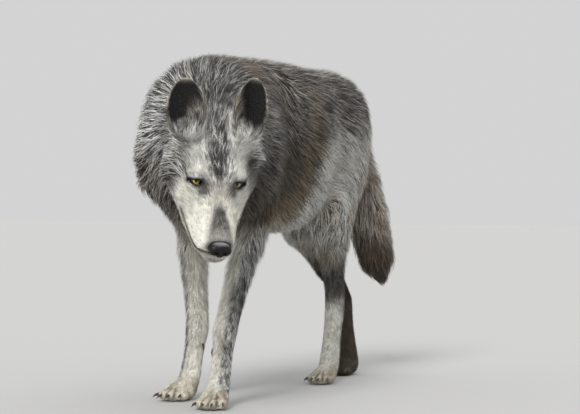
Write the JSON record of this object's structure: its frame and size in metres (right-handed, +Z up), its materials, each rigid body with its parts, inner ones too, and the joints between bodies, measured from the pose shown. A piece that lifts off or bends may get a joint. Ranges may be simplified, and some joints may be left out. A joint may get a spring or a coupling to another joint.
{
  "type": "standing wolf figure",
  "caption": "Life-size still figure of a grey wolf in mid-walk, head low and turned to its left, standing on its own paws.",
  "frame": {"origin": "middle of the model's box in plan, at the height of the soles", "axes": "+Y from the nose towards the tail, +X to the wolf's left, +Z up"},
  "size_m": [0.4382, 1.3, 0.8067],
  "materials": {
    "coat": "long coarse guard hair, charcoal with silver tips",
    "face": "short dense fur, silver white with salt-and-pepper forehead",
    "leg": "short flat fur, silver grey with darker streaks",
    "haunch": "medium fur, brown grey with pale patches",
    "tail": "long bushy fur, red brown to black",
    "ear": "very short dark fur with a pale rim",
    "nose": "bare black skin, pebbled, slightly moist",
    "eye": "polished amber eye under a clear cornea",
    "claw": "dark horn, worn smooth"
  },
  "bodies": {
    "root": {"eye_left": "eye", "ear_left": "ear", "eye_right": "eye", "ear_right": "ear", "head": "face", "muzzle": "face", "jaw": "face", "nose": "nose", "neck": "coat", "trunk": "coat", "tail": "tail", "fore_left_claw_1": "claw", "fore_left_claw_2": "claw", "fore_left_claw_3": "claw", "fore_left_claw_4": "claw", "fore_left_paw": "leg", "fore_left_dewclaw": "claw", "fore_left_leg": "leg", "fore_right_claw_1": "claw", "fore_right_claw_2": "claw", "fore_right_claw_3": "claw", "fore_right_claw_4": "claw", "fore_right_paw": "leg", "fore_right_dewclaw": "claw", "fore_right_leg": "leg", "hind_left_claw_1": "claw", "hind_left_claw_2": "claw", "hind_left_claw_3": "claw", "hind_left_claw_4": "claw", "hind_left_paw": "leg", "hind_left_leg": "haunch", "hind_right_claw_1": "claw", "hind_right_claw_2": "claw", "hind_right_claw_3": "claw", "hind_right_claw_4": "claw", "hind_right_paw": "leg", "hind_right_leg": "haunch"}
  },
  "joints": []
}
